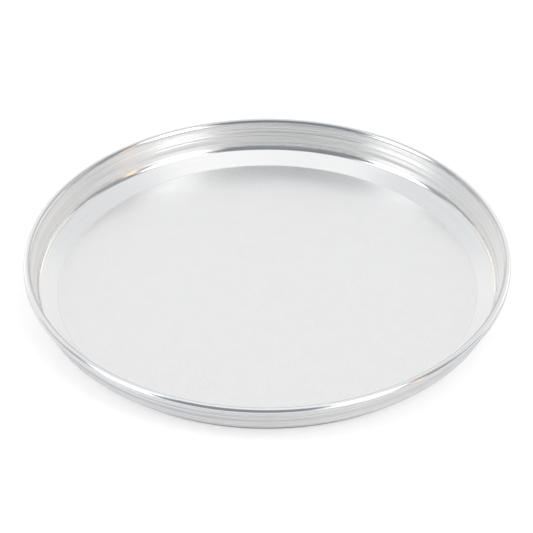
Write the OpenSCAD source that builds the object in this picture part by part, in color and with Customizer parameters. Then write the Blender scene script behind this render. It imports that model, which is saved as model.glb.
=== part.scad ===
// Round baking tray: a flat floor, a raised band around it, a flared wall and a rim rolled over a wire.
// Millimetres. The origin is the centre of the underside that the tray rests on, and +Z points up.

/* [Tray] */
// Diameter over the rolled rim
rim_d = 400; // [200:1:600]
// Height from the table to the top of the rim
tray_h = 34; // [26:0.5:80]
// Thickness of the sheet
sheet_t = 1.2; // [0.8:0.1:1.6]

/* [Band and wall] */
// Width of the band, from the floor's crease to the foot of the wall, seen from above
band_w = 16; // [10:0.5:40]
// Rise of the band from the floor to the foot of the wall
band_rise = 7.8; // [4:0.1:11]
// Spread of the wall, from its foot to the outside of the rim, seen from above
wall_spread = 11; // [9:0.5:40]
// Radius of the crease between floor and band, on the inside of the tray
crease_r = 3; // [1:0.5:8]
// Radius of the corner between band and wall, on the inside of the tray
corner_r = 5; // [2:0.5:8]

/* [Rolled rim] */
// Diameter of the wire in the rim
wire_d = 3.5; // [2:0.1:4.5]
// Clearance between the wire and the sheet rolled over it
wire_gap = 0.05; // [0.05:0.01:0.3]
// Gap between the two cut ends of the wire
butt_gap = 1; // [0.5:0.5:5]
// Straight height of the rim's outer face, below the middle of the wire
skirt_h = 2; // [1:0.1:4]
// Radius of the bend at the foot of the rim, on its inside
tuck_r = 0.4; // [0.2:0.1:0.8]
// Gap between the tucked edge of the sheet and the wall behind it
tuck_gap = 0.3; // [0.1:0.1:0.6]

/* [Hidden] */
$fn = 180;

// Turn between two points of an arc in the profile, in degrees
arc_step = 6;

rim_r = rim_d / 2;
foot_r = rim_r - wall_spread;
floor_r = foot_r - band_w;

// The roll: its middle, its outer radius and the channel that the wire lies in
channel_r = wire_d / 2 + wire_gap;
roll_r = channel_r + sheet_t;
roll_mid = [rim_r - roll_r, tray_h - roll_r];

// Corners of the sheet's upper face, before they are rounded
crease_at = [floor_r, sheet_t];
corner_at = [foot_r, sheet_t + band_rise];

// Slope of the band from the floor, and the wall's lean from upright, which brings it tangent to the roll
band_slope = atan2(band_rise, band_w);
to_roll = roll_mid - corner_at;
wall_lean = atan2(to_roll.x, to_roll.y) - asin(roll_r / norm(to_roll));
up_band = [cos(band_slope), sin(band_slope)];
off_band = [-sin(band_slope), cos(band_slope)];

// Middles of the two bends, each on the hollow side of the sheet
crease_mid = crease_at + crease_r * [-tan(band_slope / 2), 1];
corner_turn = 90 - wall_lean - band_slope;
corner_mid = corner_at - corner_r * tan(corner_turn / 2) * up_band + corner_r * off_band;

// The bend at the foot of the roll's outer face, and the underside of the tuck below it
tuck_out_r = tuck_r + sheet_t;
tuck_mid = [rim_r - tuck_out_r, roll_mid.y - skirt_h];
tuck_low = tuck_mid.y - tuck_out_r;
tuck_high = tuck_low + sheet_t;

// Angle of the cut left open between the ends of the wire
butt_angle = 2 * asin(butt_gap / 2 / roll_mid.x);

// Points of an arc about mid, from one angle to another
function arc(mid, r, from, to) =
    let (steps = max(2, ceil(abs(to - from) / arc_step)), turn = (to - from) / steps)
    [for (i = [0 : steps]) mid + r * [cos(from + i * turn), sin(from + i * turn)]];

// Distance from the axis to the wall's outer face at a height
function wall_outside(z) =
    corner_at.x + (z - corner_at.y) * tan(wall_lean) + sheet_t / cos(wall_lean);

// Section of the sheet: out along its upper face, over the roll and under the tuck,
// then back along its lower face
module sheet_section() {
    polygon(concat(
        [[0, sheet_t]],
        arc(crease_mid, crease_r, -90, band_slope - 90),
        arc(corner_mid, corner_r, band_slope - 90, -wall_lean),
        arc(roll_mid, roll_r, 180 - wall_lean, 0),
        arc(tuck_mid, tuck_out_r, 0, -90),
        [[wall_outside(tuck_low) + tuck_gap, tuck_low]],
        [[wall_outside(tuck_high) + tuck_gap, tuck_high]],
        arc(tuck_mid, tuck_r, -90, 0),
        arc(roll_mid, channel_r, 0, 180 - wall_lean),
        arc(corner_mid, corner_r + sheet_t, -wall_lean, band_slope - 90),
        arc(crease_mid, crease_r + sheet_t, band_slope - 90, -90),
        [[0, 0]]
    ));
}

module tray_shell() {
    color("#dcdddf")
        rotate_extrude()
            sheet_section();
}

// The wire is a ring bent from a straight length, so its ends meet with a small gap
module rim_wire() {
    color("#9a9da1")
        rotate([0, 0, butt_angle / 2])
            rotate_extrude(angle = 360 - butt_angle)
                translate(roll_mid)
                    circle(d = wire_d);
}

tray_shell();
rim_wire();
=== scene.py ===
import math

import bmesh
import bpy
from mathutils import Matrix, Vector


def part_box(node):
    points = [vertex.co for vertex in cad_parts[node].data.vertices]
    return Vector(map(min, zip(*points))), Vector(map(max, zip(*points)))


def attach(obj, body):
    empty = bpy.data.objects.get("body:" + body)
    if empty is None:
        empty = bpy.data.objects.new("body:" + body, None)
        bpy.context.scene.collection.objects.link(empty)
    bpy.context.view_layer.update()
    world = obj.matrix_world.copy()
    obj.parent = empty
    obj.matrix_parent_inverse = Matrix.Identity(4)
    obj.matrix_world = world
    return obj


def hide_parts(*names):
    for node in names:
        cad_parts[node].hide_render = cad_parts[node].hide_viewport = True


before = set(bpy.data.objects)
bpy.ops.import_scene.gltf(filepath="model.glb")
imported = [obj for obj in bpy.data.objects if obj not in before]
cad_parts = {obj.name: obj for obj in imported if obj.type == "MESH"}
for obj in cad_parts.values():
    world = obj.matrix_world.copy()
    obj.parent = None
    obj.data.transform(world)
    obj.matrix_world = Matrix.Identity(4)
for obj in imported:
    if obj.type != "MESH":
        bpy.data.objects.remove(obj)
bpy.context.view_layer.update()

MM = 0.001

# The tray's own sizes: the rim, the height and the wire come from the model's parts
shell_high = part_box("tray_shell")[1]
wire_low, wire_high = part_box("rim_wire")
RIM_R = shell_high.x
TRAY_H = shell_high.z
WIRE_D = wire_high.z - wire_low.z
WIRE_GAP = 0.05 * MM
SHEET_T = TRAY_H - wire_high.z - WIRE_GAP
BAND_W = 16 * MM
BAND_RISE = 7.8 * MM
WALL_SPREAD = 11 * MM
CREASE_R = 3 * MM
CORNER_R = 5 * MM
SKIRT_H = 2 * MM
TUCK_R = 0.4 * MM
TUCK_GAP = 0.3 * MM
EDGE_R = 0.15 * MM

# How finely the sheet is drawn: the points in a ring, the degrees from point to point of a bend and its
# fewest parts, the parts of each straight stretch, and how close points lie that are one
RING_POINTS = 320
BEND_STEP = 4
BEND_PARTS = 3
FLOOR_PARTS = 14
BAND_PARTS = 8
WALL_PARTS = 10
SKIRT_PARTS = 4
TUCK_PARTS = 3
CLOSE_TOGETHER = 0.001 * MM

# Marks are a noise, whose middle values run through the whole tint
MARK_DETAIL = 4.0
MARK_ROUGHNESS = 0.6
TINT_FROM = 0.4
TINT_TO = 0.6

# A brush or a roller held against the spinning sheet leaves rings, so marks are far longer than wide.
# Real marks and grain are some hundredths of a millimetre wide, and are drawn coarser so that they show.
TURNED = (2400 * MM, 2 * MM)
TURNED_GRAIN = {"size": (400 * MM, 0.4 * MM), "matt": 1.0, "share": 0.62, "streak": 1.2}
SATIN_GRAIN = 0.2 * MM

# How softly the matt spots of a grain pass into its smooth part
GRAIN_EDGE = 0.05

# The roughness of a brushed face between the matt spots of its grain
BRUSHED = 0.32

# A quarter turn, which lays the spread of the light across the marks
ACROSS = 0.25

# Painted shade: dark lines in the crease, and on the inner side of the rim. The first is placed by its
# way out from the start of the crease, and the second by its turn in degrees from the start of the rim.
PAINTED_CREASE_SHADE_OUT = 0.7 * MM
PAINTED_CREASE_SHADE_W = 1.2 * MM
PAINTED_CREASE_SHADE_LEVEL = 0.93
PAINTED_RIM_SHADE_TURN = 46
PAINTED_RIM_SHADE_W = 2.1 * MM
PAINTED_RIM_SHADE_LEVEL = 0.72

# Shares of a line's width from its middle: where it starts to fade, and where it is gone
LINE_FADES = 0.3
LINE_GONE = 0.7

# The wire's clouds, and the length, width, depth and detail of its drawn lines. Real ones are some
# hundredths of a millimetre apart, and are drawn coarser so that they show.
WIRE_CLOUD = 2.5 * MM
WIRE_LINE_L = 50 * MM
WIRE_LINE_W = 0.25 * MM
WIRE_LINE_DEPTH = 0.01 * MM
WIRE_LINE_DETAIL = 2.0
WIRE_SMOOTHEST = 0.35
WIRE_ROUGHEST = 0.6

# The white paper, which is open under the tray's flat floor. The light that it is shown with, on top of
# the light that falls on it, fades out where the tray's band hangs over it, as a painted shadow there.
PAPER_R = 4
PAPER_HOLE_R = 0.172
PAPER_SIDES = 128
PAPER_SHADE = 0.64
PAPER_LIFT = 0.515
PAPER_LIFT_IN_METAL = 0.28
PAINTED_SHADOW_R = 180.3 * MM
PAINTED_SHADOW_END_R = 181.5 * MM

# The photograph's view: the camera's distance from the floor's centre, its angle above the floor, its lens,
# and how near and how far it sees
FRAME_PX = 533
CAMERA_AWAY = 2.6
CAMERA_ABOVE = math.radians(37.546)
CAMERA_ROLL = -0.0024
FOCAL_PX = 3143
CENTRE_RIGHT_PX = 0.67
CENTRE_DOWN_PX = 20.1
SENSOR_MM = 36
NEAREST = 0.1
FARTHEST = 20


def linear(hex_colour):
    """An sRGB hex colour as linear red, green, blue and alpha."""
    channels = [int(hex_colour[i:i + 2], 16) / 255 for i in (1, 3, 5)]
    return [c / 12.92 if c <= 0.04045 else ((c + 0.055) / 1.055) ** 2.4 for c in channels] + [1]


def grey(level, red=1.0, blue=1.0):
    """A linear grey, a little warmer or cooler."""
    return (level * red, level, level * blue, 1)


# The studio is a pale backdrop all round, with panels laid over it in this order. Each row is the turn from
# the back to the right, the height, half the width, half the height, the lean and the soft edge, all in
# degrees, and the colour.
BACKDROP = grey(0.97)
PANELS = [
    # Overhead
    (0, 90, 22, 22, 0, 8, grey(1.10)),
    # High at both sides of the back
    (52, 48, 18, 14, 0, 8, grey(0.84, 0.98, 1.02)),
    (-52, 48, 18, 14, 0, 8, grey(0.84, 0.98, 1.02)),
    # Low at both sides of the back
    (48, 8, 10, 12, 0, 5, grey(1.35)),
    (-40, 8, 10, 12, 0, 5, grey(1.35)),
    # The grey sides of the room, high and low
    (106, 44, 18, 24, 0, 6, grey(0.38, 0.92, 1.12)),
    (-97, 44, 17, 24, 0, 6, grey(0.40, 0.92, 1.12)),
    (100, -4, 24, 22, 0, 4, grey(0.38, 0.92, 1.12)),
    (-88, -4, 22, 22, 0, 4, grey(0.40, 0.92, 1.12)),
    # The dark front of the room, low and high
    (-167, 20, 33, 30, 0, 3, grey(0.32, 0.97, 1.05)),
    (-160, 60, 35, 23, 0, 3, grey(0.31, 0.88, 1.17)),
    # Light boxes at both sides of the front, and a lamp above each
    (135, 26, 11, 40, -22, 3, grey(2.6, 0.99, 1.02)),
    (-112, 24, 11, 38, 24, 3, grey(2.6, 0.99, 1.02)),
    (121, 56, 9, 9, 0, 3, grey(4.8, 0.98, 1.03)),
    (-98, 56, 8, 8, 0, 3, grey(3.6, 0.98, 1.03)),
    # A small warm lamp
    (113, 14, 3, 9, 0, 1.5, grey(1.5, 1.6, 0.55)),
]


def add(tree, kind, inputs=None, **settings):
    """Adds a node with its settings. Each input is given a value, or is linked where that is a socket."""
    node = tree.nodes.new(kind)
    for name, value in settings.items():
        setattr(node, name, value)
    for name, value in (inputs or {}).items():
        if isinstance(value, bpy.types.NodeSocket):
            tree.links.new(value, node.inputs[name])
        else:
            node.inputs[name].default_value = value
    return node


def bend(mid, radius, start, end):
    """Points of a bend about mid, from one angle to another in degrees, as (out, up)."""
    steps = max(BEND_PARTS, math.ceil(abs(end - start) / BEND_STEP))
    turns = [math.radians(start + (end - start) * i / steps) for i in range(steps + 1)]
    return [(mid[0] + radius * math.cos(t), mid[1] + radius * math.sin(t)) for t in turns]


def straight(start, end, parts):
    """Points between two ends of a straight stretch, closer together towards the ends."""
    shares = [0.5 - 0.5 * math.cos(math.pi * i / parts) for i in range(1, parts)]
    return [(start[0] + (end[0] - start[0]) * s, start[1] + (end[1] - start[1]) * s) for s in shares]


def sheet_section():
    """The sheet's section from the middle of its upper face, out over the rim and back to the middle below.

    Gives the points as (out, up), how far along the section each lies and each finish starts, and where the
    painted shade line on the rim lies.
    """
    foot_r = RIM_R - WALL_SPREAD
    floor_r = foot_r - BAND_W
    channel_r = RIM_R - SHEET_T - (wire_high.x - WIRE_D / 2)
    roll_r = channel_r + SHEET_T
    roll_mid = (RIM_R - roll_r, TRAY_H - roll_r)

    slope = math.atan2(BAND_RISE, BAND_W)
    out, up = roll_mid[0] - foot_r, roll_mid[1] - SHEET_T - BAND_RISE
    lean = math.atan2(out, up) - math.asin(roll_r / math.hypot(out, up))
    crease_mid = (floor_r - CREASE_R * math.tan(slope / 2), SHEET_T + CREASE_R)
    half_corner = (math.pi / 2 - lean - slope) / 2
    run = CORNER_R * math.tan(half_corner)
    corner_mid = (foot_r - run * math.cos(slope) - CORNER_R * math.sin(slope),
                  SHEET_T + BAND_RISE - run * math.sin(slope) + CORNER_R * math.cos(slope))
    tuck_mid = (RIM_R - TUCK_R - SHEET_T, roll_mid[1] - SKIRT_H)
    slope_deg, lean_deg = math.degrees(slope), math.degrees(lean)

    def wall_outside(height):
        return foot_r + (height - SHEET_T - BAND_RISE) * math.tan(lean) + SHEET_T / math.cos(lean)

    tuck_low = tuck_mid[1] - TUCK_R - SHEET_T
    edge_r = wall_outside(tuck_low + SHEET_T / 2) + TUCK_GAP + EDGE_R
    edge_low = (edge_r, tuck_low + EDGE_R)
    edge_high = (edge_r, tuck_low + SHEET_T - EDGE_R)

    corner = bend(corner_mid, CORNER_R, slope_deg - 90, -lean_deg)
    roll = bend(roll_mid, roll_r, 180 - lean_deg, 0)
    under_crease = bend(crease_mid, CREASE_R + SHEET_T, slope_deg - 90, -90)

    # Each row is a finish, the points of a bend or an end, and the parts of the straight stretch after it.
    # Nothing follows the last.
    # The inside of the rim is hidden, and keeps the finish of the skirt.
    stretches = [
        ("floor", [(0, SHEET_T)], FLOOR_PARTS),
        ("band", bend(crease_mid, CREASE_R, -90, slope_deg - 90), BAND_PARTS),
        ("corner", corner, WALL_PARTS),
        ("rim", roll, SKIRT_PARTS),
        ("skirt", bend(tuck_mid, TUCK_R + SHEET_T, 0, -90), TUCK_PARTS),
        ("skirt", bend(edge_low, EDGE_R, -90, -180) + bend(edge_high, EDGE_R, 180, 90), TUCK_PARTS),
        ("skirt", bend(tuck_mid, TUCK_R, -90, 0), TUCK_PARTS),
        ("skirt", bend(roll_mid, channel_r, 0, 180 - lean_deg), WALL_PARTS),
        ("outside", bend(corner_mid, CORNER_R + SHEET_T, -lean_deg, slope_deg - 90), BAND_PARTS),
        ("outside", under_crease, FLOOR_PARTS),
        ("underside", [(0, 0)], 0),
    ]
    points, starts = [], {}
    for (name, corners, parts), following in zip(stretches, stretches[1:] + [None]):
        starts.setdefault(name, len(points))
        points += corners
        if following:
            points += straight(corners[-1], following[1][0], parts)

    # These start where a bend ends
    starts["wall"] = points.index(corner[-1])
    starts["skirt"] = points.index(roll[-1])
    starts["underside"] = points.index(under_crease[-1])

    along = [0]
    for a, b in zip(points, points[1:]):
        along.append(along[-1] + math.dist(a, b))
    starts = {name: along[index] for name, index in starts.items()}
    painted_rim_shade_at = starts["rim"] + math.radians(PAINTED_RIM_SHADE_TURN) * roll_r
    return points, along, starts, painted_rim_shade_at


def lathe_tree(finishes):
    """A tree that spins a section about the upright axis and gives each stretch of it its own finish."""
    tree = bpy.data.node_groups.new("spin_the_sheet", "GeometryNodeTree")
    face = tree.interface
    face.new_socket("Geometry", in_out="INPUT", socket_type="NodeSocketGeometry")
    face.new_socket("Geometry", in_out="OUTPUT", socket_type="NodeSocketGeometry")
    sizes = {
        "Points in a ring": ("NodeSocketInt", RING_POINTS),
        "Points in the section": ("NodeSocketInt", 0),
        "Merge distance": ("NodeSocketFloat", CLOSE_TOGETHER),
    }
    for name, (kind, value) in sizes.items():
        face.new_socket(name, in_out="INPUT", socket_type=kind).default_value = value
    for name in finishes:
        face.new_socket(f"{name} starts at", in_out="INPUT", socket_type="NodeSocketFloat")

    # A grid whose columns are the section at each turn. A point's index gives its row and its column.
    given = add(tree, "NodeGroupInput").outputs
    rings, section = given["Points in a ring"], given["Points in the section"]
    columns = add(tree, "ShaderNodeMath", {0: rings, 1: 1.0}, operation="ADD").outputs[0]
    grid = add(tree, "GeometryNodeMeshGrid", {"Vertices X": columns, "Vertices Y": section})
    index = add(tree, "GeometryNodeInputIndex").outputs[0]
    row = add(tree, "ShaderNodeMath", {0: index, 1: section}, operation="MODULO").outputs[0]
    column = add(tree, "ShaderNodeMath", {0: index, 1: section}, operation="DIVIDE").outputs[0]
    column = add(tree, "ShaderNodeMath", {0: column}, operation="FLOOR").outputs[0]
    turn = add(tree, "ShaderNodeMath", {0: column, 1: rings}, operation="DIVIDE").outputs[0]

    # Each point's place in the section, and how far along it that is
    place = add(tree, "GeometryNodeInputPosition").outputs[0]
    of_section = add(tree, "GeometryNodeSampleIndex", {"Geometry": given["Geometry"], "Index": row},
                     data_type="FLOAT_VECTOR")
    tree.links.new(place, of_section.inputs["Value"])
    length = add(tree, "GeometryNodeInputNamedAttribute", {"Name": "along"}, data_type="FLOAT")
    along = add(tree, "GeometryNodeSampleIndex", {"Geometry": given["Geometry"], "Index": row},
                data_type="FLOAT")
    tree.links.new(length.outputs["Attribute"], along.inputs["Value"])

    # The spin
    full_turn = add(tree, "ShaderNodeMath", {0: turn, 1: math.tau}, operation="MULTIPLY").outputs[0]
    around = add(tree, "FunctionNodeRotateVector", {"Vector": of_section.outputs[0]})
    swing = add(tree, "FunctionNodeEulerToRotation")
    euler = add(tree, "ShaderNodeCombineXYZ", {"Z": full_turn})
    tree.links.new(euler.outputs[0], swing.inputs[0])
    tree.links.new(swing.outputs[0], around.inputs["Rotation"])
    spun = add(tree, "GeometryNodeSetPosition", {"Geometry": grid.outputs["Mesh"],
                                                 "Position": around.outputs[0]}).outputs[0]

    # A flat map of the sheet: the turn across, and metres along the section upwards
    for name, value in {"turn": turn, "along": along.outputs[0]}.items():
        spun = add(tree, "GeometryNodeStoreNamedAttribute", {
            "Geometry": spun, "Name": name, "Value": value}, data_type="FLOAT", domain="POINT").outputs[0]
    kept = {name: add(tree, "GeometryNodeInputNamedAttribute", {"Name": name}, data_type="FLOAT")
            for name in ("turn", "along")}
    flat = add(tree, "ShaderNodeCombineXYZ", {"X": kept["turn"].outputs["Attribute"],
                                              "Y": kept["along"].outputs["Attribute"]}).outputs[0]
    spun = add(tree, "GeometryNodeStoreNamedAttribute", {"Geometry": spun, "Name": "spun", "Value": flat},
               data_type="FLOAT2", domain="CORNER").outputs[0]

    # The first and last columns meet, and all columns meet at the axis, so their points are merged
    spun = add(tree, "GeometryNodeMergeByDistance", {"Geometry": spun,
                                                     "Distance": given["Merge distance"]}).outputs[0]
    spun = add(tree, "GeometryNodeSetShadeSmooth", {"Geometry": spun}).outputs[0]
    spun = add(tree, "GeometryNodeRealizeInstances", {"Geometry": spun}).outputs[0]
    here = kept["along"].outputs["Attribute"]
    for name, material in finishes.items():
        past = add(tree, "FunctionNodeCompare", {"A": here, "B": given[f"{name} starts at"]},
                   data_type="FLOAT", operation="GREATER_THAN").outputs[0]
        spun = add(tree, "GeometryNodeSetMaterial", {"Geometry": spun, "Selection": past,
                                                     "Material": material}).outputs[0]
    add(tree, "NodeGroupOutput", {"Geometry": spun})
    return tree


def turn_outwards(mesh):
    """Turns the faces of a closed mesh so that they point out of it."""
    work = bmesh.new()
    work.from_mesh(mesh)
    if work.calc_volume(signed=True) < 0:
        bmesh.ops.reverse_faces(work, faces=work.faces)
    work.to_mesh(mesh)
    work.free()


def spun_sheet(finishes, points, along, starts):
    """The tray: its section spun through a full turn, as one closed mesh."""
    outline = bpy.data.meshes.new("section")
    outline.from_pydata([(x, 0, z) for x, z in points], [(i, i + 1) for i in range(len(points) - 1)], [])
    outline.attributes.new("along", "FLOAT", "POINT").data.foreach_set("value", along)
    blank = bpy.data.objects.new("section", outline)
    bpy.context.collection.objects.link(blank)
    order = sorted(finishes, key=lambda name: starts[name])
    tree = lathe_tree({name: finishes[name] for name in order})
    lathe = blank.modifiers.new("lathe", "NODES")
    lathe.node_group = tree
    sockets = {s.name: s.identifier for s in tree.interface.items_tree if s.in_out == "INPUT"}
    lathe[sockets["Points in the section"]] = len(points)
    for name in order:
        lathe[sockets[f"{name} starts at"]] = starts[name]
    done = blank.evaluated_get(bpy.context.evaluated_depsgraph_get())
    mesh = bpy.data.meshes.new_from_object(done)
    bpy.data.objects.remove(blank)
    sheet = bpy.data.objects.new("spun_tray_sheet", mesh)
    bpy.context.collection.objects.link(sheet)
    turn_outwards(mesh)
    return sheet


def along_section(tree):
    """How far a point lies along the section, in metres."""
    spun = add(tree, "ShaderNodeUVMap", uv_map="spun").outputs[0]
    return add(tree, "ShaderNodeSeparateXYZ", {0: spun}).outputs["Y"]


def counted(tree, size):
    """Where a point lies, counted in sizes, or in a length round the tray and a width along its section."""
    where = add(tree, "ShaderNodeTexCoord").outputs["Object"]
    if not isinstance(size, tuple):
        return add(tree, "ShaderNodeVectorMath", {0: where, "Scale": 1 / size},
                   operation="SCALE").outputs[0]
    length, width = size
    flat = add(tree, "ShaderNodeVectorMath", {0: where, 1: (1, 1, 0)}, operation="MULTIPLY").outputs[0]
    way = add(tree, "ShaderNodeVectorMath", {0: flat}, operation="NORMALIZE").outputs[0]
    round_it = add(tree, "ShaderNodeVectorMath", {0: way, "Scale": RIM_R / length},
                   operation="SCALE").outputs[0]
    widths = add(tree, "ShaderNodeMath", {0: along_section(tree), 1: 1 / width},
                 operation="MULTIPLY").outputs[0]
    raised = add(tree, "ShaderNodeCombineXYZ", {"Z": widths}).outputs[0]
    return add(tree, "ShaderNodeVectorMath", {0: round_it, 1: raised}, operation="ADD").outputs[0]


def new_material(name):
    """An empty material and its tree."""
    material = bpy.data.materials.new(name)
    material.use_nodes = True
    material.node_tree.nodes.clear()
    return material, material.node_tree


def marked(tree, marks, colours):
    """Marks of a size, as how high they stand from 0 to 1 and as a tint between two colours."""
    mark = add(tree, "ShaderNodeTexNoise", {
        "Vector": counted(tree, marks), "Scale": 1.0, "Detail": MARK_DETAIL,
        "Roughness": MARK_ROUGHNESS}).outputs["Fac"]
    tone = add(tree, "ShaderNodeMapRange", {"Value": mark, "From Min": TINT_FROM,
                                            "From Max": TINT_TO}).outputs[0]
    tint = add(tree, "ShaderNodeMix", {"Factor": tone, "A": linear(colours[0]), "B": linear(colours[1])},
               data_type="RGBA").outputs["Result"]
    return mark, tint


def painted_shade_ringed(tree, tint, place, width, shade):
    """A tint with a painted dark ring of shade on it, at a place along the section."""
    off = add(tree, "ShaderNodeMath", {0: along_section(tree), 1: place}, operation="SUBTRACT").outputs[0]
    off = add(tree, "ShaderNodeMath", {0: off}, operation="ABSOLUTE").outputs[0]
    level = add(tree, "ShaderNodeMapRange", {
        "Value": off, "From Min": width * LINE_FADES, "From Max": width * LINE_GONE, "To Min": shade,
        "To Max": 1.0}, interpolation_type="SMOOTHSTEP").outputs[0]
    return add(tree, "ShaderNodeVectorMath", {0: tint, "Scale": level}, operation="SCALE").outputs[0]


def grained(tree, mark, smooth, size, matt, share, streak):
    """The roughness of a fine grain, of which a share is matt and the rest is smooth.

    The streak is how much more of it is matt on the marks than beside them.
    """
    cell = add(tree, "ShaderNodeTexVoronoi", {"Vector": counted(tree, size), "Scale": 1.0}).outputs["Color"]
    lot = add(tree, "ShaderNodeSeparateXYZ", {0: cell}).outputs["X"]
    lot = add(tree, "ShaderNodeMath", {0: mark, 1: streak, 2: lot}, operation="MULTIPLY_ADD").outputs[0]
    middle = 1 - share + streak / 2
    return add(tree, "ShaderNodeMapRange", {
        "Value": lot, "From Min": middle - GRAIN_EDGE, "From Max": middle + GRAIN_EDGE,
        "To Min": smooth, "To Max": matt}).outputs[0]


def aluminium(name, colours, marks, depth, smooth, grain=None, spread=0.0, ring=None):
    """Bare aluminium, from its colours, the size and depth of its marks, and how smooth it is.

    The grain is its size, the roughness of its matt part, that part's share and how far it follows the
    marks. The spread is how far the marks draw light out across them. The ring is a painted dark line of
    shade: its place, width and shade.
    """
    material, tree = new_material(name)
    mark, tint = marked(tree, marks, colours)
    if ring:
        tint = painted_shade_ringed(tree, tint, **ring)
    roughness = grained(tree, mark, smooth, **grain) if grain else smooth
    raised = add(tree, "ShaderNodeBump", {"Height": mark, "Distance": depth, "Strength": 1.0}).outputs[0]
    tangent = add(tree, "ShaderNodeTangent", direction_type="UV_MAP", uv_map="spun").outputs[0]
    shader = add(tree, "ShaderNodeBsdfPrincipled", {
        "Base Color": tint, "Metallic": 1.0, "Roughness": roughness, "Anisotropic": spread,
        "Anisotropic Rotation": ACROSS, "Normal": raised, "Tangent": tangent})
    add(tree, "ShaderNodeOutputMaterial", {"Surface": shader.outputs[0]})
    return material


def galvanised_wire():
    """Steel wire, drawn and then dipped in zinc: dull blue-grey, clouded, with fine lines along it."""
    material, tree = new_material("galvanised_steel_wire")
    cloud, tint = marked(tree, WIRE_CLOUD, ("#B4B8BC", "#8F9498"))
    where = add(tree, "ShaderNodeTexCoord").outputs["Object"]
    per_line = (1 / WIRE_LINE_L, 1 / WIRE_LINE_L, 1 / WIRE_LINE_W)
    lines = add(tree, "ShaderNodeVectorMath", {0: where, 1: per_line}, operation="MULTIPLY").outputs[0]
    line = add(tree, "ShaderNodeTexNoise", {"Vector": lines, "Scale": 1.0,
                                            "Detail": WIRE_LINE_DETAIL}).outputs["Fac"]
    rough = add(tree, "ShaderNodeMapRange", {"Value": cloud, "To Min": WIRE_SMOOTHEST,
                                             "To Max": WIRE_ROUGHEST}).outputs[0]
    raised = add(tree, "ShaderNodeBump", {"Height": line, "Distance": WIRE_LINE_DEPTH,
                                          "Strength": 1.0}).outputs[0]
    shader = add(tree, "ShaderNodeBsdfPrincipled", {"Base Color": tint, "Metallic": 1.0, "Roughness": rough,
                                                    "Normal": raised})
    add(tree, "ShaderNodeOutputMaterial", {"Surface": shader.outputs[0]})
    return material


def sheet_of_paper():
    """The paper that the tray stands on, with a hole under the tray's flat floor."""
    work = bmesh.new()
    bmesh.ops.create_circle(work, radius=PAPER_R, segments=PAPER_SIDES)
    bmesh.ops.create_circle(work, radius=PAPER_HOLE_R, segments=PAPER_SIDES)
    bmesh.ops.bridge_loops(work, edges=work.edges)
    for face in work.faces:
        face.normal_update()
        if face.normal.z < 0:
            face.normal_flip()
    paper = bpy.data.objects.new("paper", bpy.data.meshes.new("paper"))
    work.to_mesh(paper.data)
    work.free()
    bpy.context.collection.objects.link(paper)
    return paper


def white_paper():
    """Smooth matt paper without a sheen: white to the camera and in the metal, with the tray's soft shadow
    and a painted shadow under its band.

    It is clear from below, so that it doesn't hide the tray's underside.
    """
    material, tree = new_material("white_paper")
    matt = add(tree, "ShaderNodeBsdfDiffuse", {"Color": grey(PAPER_SHADE, 1.02, 0.985)})
    rays = add(tree, "ShaderNodeLightPath").outputs
    mirrored = add(tree, "ShaderNodeMath", {0: rays["Is Glossy Ray"], 1: rays["Is Transmission Ray"]},
                   operation="MAXIMUM").outputs[0]
    direct = add(tree, "ShaderNodeMath", {0: rays["Is Camera Ray"], 1: PAPER_LIFT},
                 operation="MULTIPLY").outputs[0]
    lift = add(tree, "ShaderNodeMath", {0: mirrored, 1: PAPER_LIFT_IN_METAL, 2: direct},
               operation="MULTIPLY_ADD").outputs[0]
    # Painted shadow: the added light fades to nothing under the tray's band
    where = add(tree, "ShaderNodeTexCoord").outputs["Object"]
    from_axis = add(tree, "ShaderNodeVectorMath", {0: where}, operation="LENGTH").outputs["Value"]
    past_painted_shadow = add(tree, "ShaderNodeMapRange", {"Value": from_axis, "From Min": PAINTED_SHADOW_R,
                                           "From Max": PAINTED_SHADOW_END_R}).outputs[0]
    lift = add(tree, "ShaderNodeMath", {0: lift, 1: past_painted_shadow}, operation="MULTIPLY").outputs[0]
    glow = add(tree, "ShaderNodeEmission", {"Strength": lift})
    both = add(tree, "ShaderNodeAddShader", {0: matt.outputs[0], 1: glow.outputs[0]})
    clear = add(tree, "ShaderNodeBsdfTransparent")
    below = add(tree, "ShaderNodeNewGeometry").outputs["Backfacing"]
    either = add(tree, "ShaderNodeMixShader", {0: below, 1: both.outputs[0], 2: clear.outputs[0]})
    add(tree, "ShaderNodeOutputMaterial", {"Surface": either.outputs[0]})
    return material


def panel(tree, view, so_far, turn, height, width, tall, lean, edge, colour):
    """Lays a soft-edged panel over the studio, as seen from the tray.

    turn goes from the back to the right, height up from the floor. These, the panel's half width and
    half height, its lean and its soft edge are in degrees.
    """
    side, above = math.radians(turn), math.radians(height)
    facing = Vector((math.sin(side) * math.cos(above), math.cos(side) * math.cos(above), math.sin(above)))
    across = Vector((math.cos(side), -math.sin(side), 0))
    upward = across.cross(facing)
    tip = Matrix.Rotation(math.radians(lean), 3, facing)
    masks = []
    ahead = add(tree, "ShaderNodeVectorMath", {0: view, 1: facing},
                operation="DOT_PRODUCT").outputs["Value"]
    for way, half in ((tip @ across, width), (tip @ upward, tall)):
        along = add(tree, "ShaderNodeVectorMath", {0: view, 1: way},
                    operation="DOT_PRODUCT").outputs["Value"]
        off = add(tree, "ShaderNodeMath", {0: along, 1: ahead}, operation="ARCTAN2").outputs[0]
        off = add(tree, "ShaderNodeMath", {0: off}, operation="ABSOLUTE").outputs[0]
        masks.append(add(tree, "ShaderNodeMapRange", {
            "Value": off, "From Min": math.radians(half - edge), "From Max": math.radians(half + edge),
            "To Min": 1.0, "To Max": 0.0}, interpolation_type="SMOOTHSTEP").outputs[0])
    mask = add(tree, "ShaderNodeMath", {0: masks[0], 1: masks[1]}, operation="MULTIPLY").outputs[0]
    return add(tree, "ShaderNodeMix", {"Factor": mask, "A": so_far, "B": colour},
               data_type="RGBA").outputs["Result"]


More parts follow.
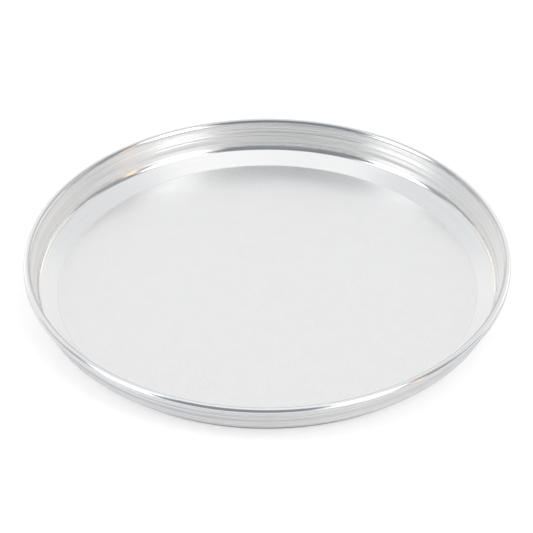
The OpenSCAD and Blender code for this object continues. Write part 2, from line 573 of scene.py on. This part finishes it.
def light_the_studio():
    """A world of the backdrop and its panels. The camera itself sees the plain backdrop."""
    world = bpy.data.worlds.new("studio")
    bpy.context.scene.world = world
    world.use_nodes = True
    tree = world.node_tree
    tree.nodes.clear()
    view = add(tree, "ShaderNodeTexCoord").outputs["Generated"]
    studio = BACKDROP
    for row in PANELS:
        studio = panel(tree, view, studio, *row)
    seen = add(tree, "ShaderNodeLightPath").outputs["Is Camera Ray"]
    colour = add(tree, "ShaderNodeMix", {"Factor": seen, "A": studio, "B": BACKDROP}, data_type="RGBA")
    light = add(tree, "ShaderNodeBackground", {"Color": colour.outputs["Result"], "Strength": 1.0})
    add(tree, "ShaderNodeOutputWorld", {"Surface": light.outputs[0]})


def place_camera():
    """The camera looks a little above the floor's centre, so that the tray sits low in the frame."""
    aim = Vector((0, 0, SHEET_T))
    back = Vector((0, -math.cos(CAMERA_ABOVE), math.sin(CAMERA_ABOVE)))
    right = Vector((1, 0, 0))
    up = back.cross(right)
    metres_per_px = CAMERA_AWAY / FOCAL_PX
    place = aim + back * CAMERA_AWAY
    look = aim + up * CENTRE_DOWN_PX * metres_per_px - right * CENTRE_RIGHT_PX * metres_per_px - place
    camera = bpy.data.objects.new("camera", bpy.data.cameras.new("camera"))
    bpy.context.collection.objects.link(camera)
    turn = look.to_track_quat("-Z", "Y").to_matrix().to_4x4() @ Matrix.Rotation(CAMERA_ROLL, 4, "Z")
    camera.matrix_world = Matrix.Translation(place) @ turn
    camera.data.sensor_width = SENSOR_MM
    camera.data.lens = FOCAL_PX * SENSOR_MM / FRAME_PX
    camera.data.clip_start = NEAREST
    camera.data.clip_end = FARTHEST
    bpy.context.scene.camera = camera


points, along, starts, painted_rim_shade_at = sheet_section()

# The finishes, each named for the metal's surface, in the order of the section
# Painted shade: a dark line laid in the crease between the floor and the band
painted_crease_shade = {"place": starts["band"] + PAINTED_CREASE_SHADE_OUT, "width": PAINTED_CREASE_SHADE_W,
               "shade": PAINTED_CREASE_SHADE_LEVEL}
# Painted shade: a dark line laid on the inner side of the rim's roll, near its top
painted_rim_shade = {"place": painted_rim_shade_at, "width": PAINTED_RIM_SHADE_W, "shade": PAINTED_RIM_SHADE_LEVEL}
finishes = {
    # Rolled sheet, etched to a satin: an even pale grey that only blurs what it mirrors
    "floor": aluminium("satin_rolled_aluminium", ("#EEEEEE", "#EDEDED"), marks=14 * MM,
                       depth=0.0005 * MM, smooth=0.26,
                       grain={"size": SATIN_GRAIN, "matt": 0.7, "share": 0.2, "streak": 0}),
    # Planished by a smooth roller: a clear band with hardly a mark, and a painted shade line in the crease
    "band": aluminium("planished_aluminium", ("#F0F0F0", "#EEEEEE"), marks=(120 * MM, 2 * MM),
                      depth=0.002 * MM, smooth=0.20, spread=0.3, ring=painted_crease_shade),
    # Burnished in the bend by the edge of the roller: nearly a mirror, a little wavy
    "corner": aluminium("burnished_aluminium", ("#F1F0EE", "#DEDBD8"), marks=(60 * MM, 0.9 * MM),
                        depth=0.014 * MM, smooth=0.12, spread=0.3),
    # Brushed while it spins: a soft sheen with rings, which draws each reflection out up and down
    "wall": aluminium("brushed_wall_aluminium", ("#FEFDFB", "#E8E7E5"), marks=TURNED,
                      depth=0.05 * MM, smooth=BRUSHED, grain=TURNED_GRAIN, spread=0.8),
    # Rolled over the wire and burnished: bright, with a painted shade line on its inner side
    "rim": aluminium("burnished_rim_aluminium", ("#F0F0F0", "#E6E6E6"), marks=(200 * MM, 0.8 * MM),
                     depth=0.003 * MM, smooth=0.16, spread=0.4, ring=painted_rim_shade),
    # Brushed on the outside of the rim: deeper and darker rings than on the wall
    "skirt": aluminium("brushed_rim_aluminium", ("#FCFCFC", "#D2D2D2"), marks=TURNED,
                       depth=0.07 * MM, smooth=BRUSHED, grain=TURNED_GRAIN, spread=0.8),
    # Brushed on the outside of the wall, and darker than the wall: painted shade of the side that faces
    # down to the paper
    "outside": aluminium("shaded_brushed_outside_aluminium", ("#EFEFEF", "#D4D4D4"), marks=TURNED,
                         depth=0.05 * MM, smooth=BRUSHED, grain=TURNED_GRAIN, spread=0.8),
    # Rolled sheet, etched and slightly rubbed by what it stands on: a duller satin
    "underside": aluminium("rubbed_satin_aluminium", ("#E8E8E8", "#E5E5E5"), marks=14 * MM,
                           depth=0.0005 * MM, smooth=0.32,
                           grain={"size": SATIN_GRAIN, "matt": 0.7, "share": 0.3, "streak": 0}),
}

sheet = spun_sheet(finishes, points, along, starts)
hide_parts("tray_shell")
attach(sheet, "root")

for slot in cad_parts["rim_wire"].material_slots:
    slot.material = galvanised_wire()

paper = sheet_of_paper()
paper.data.materials.append(white_paper())

light_the_studio()
place_camera()
bpy.context.scene.view_settings.view_transform = "Standard"
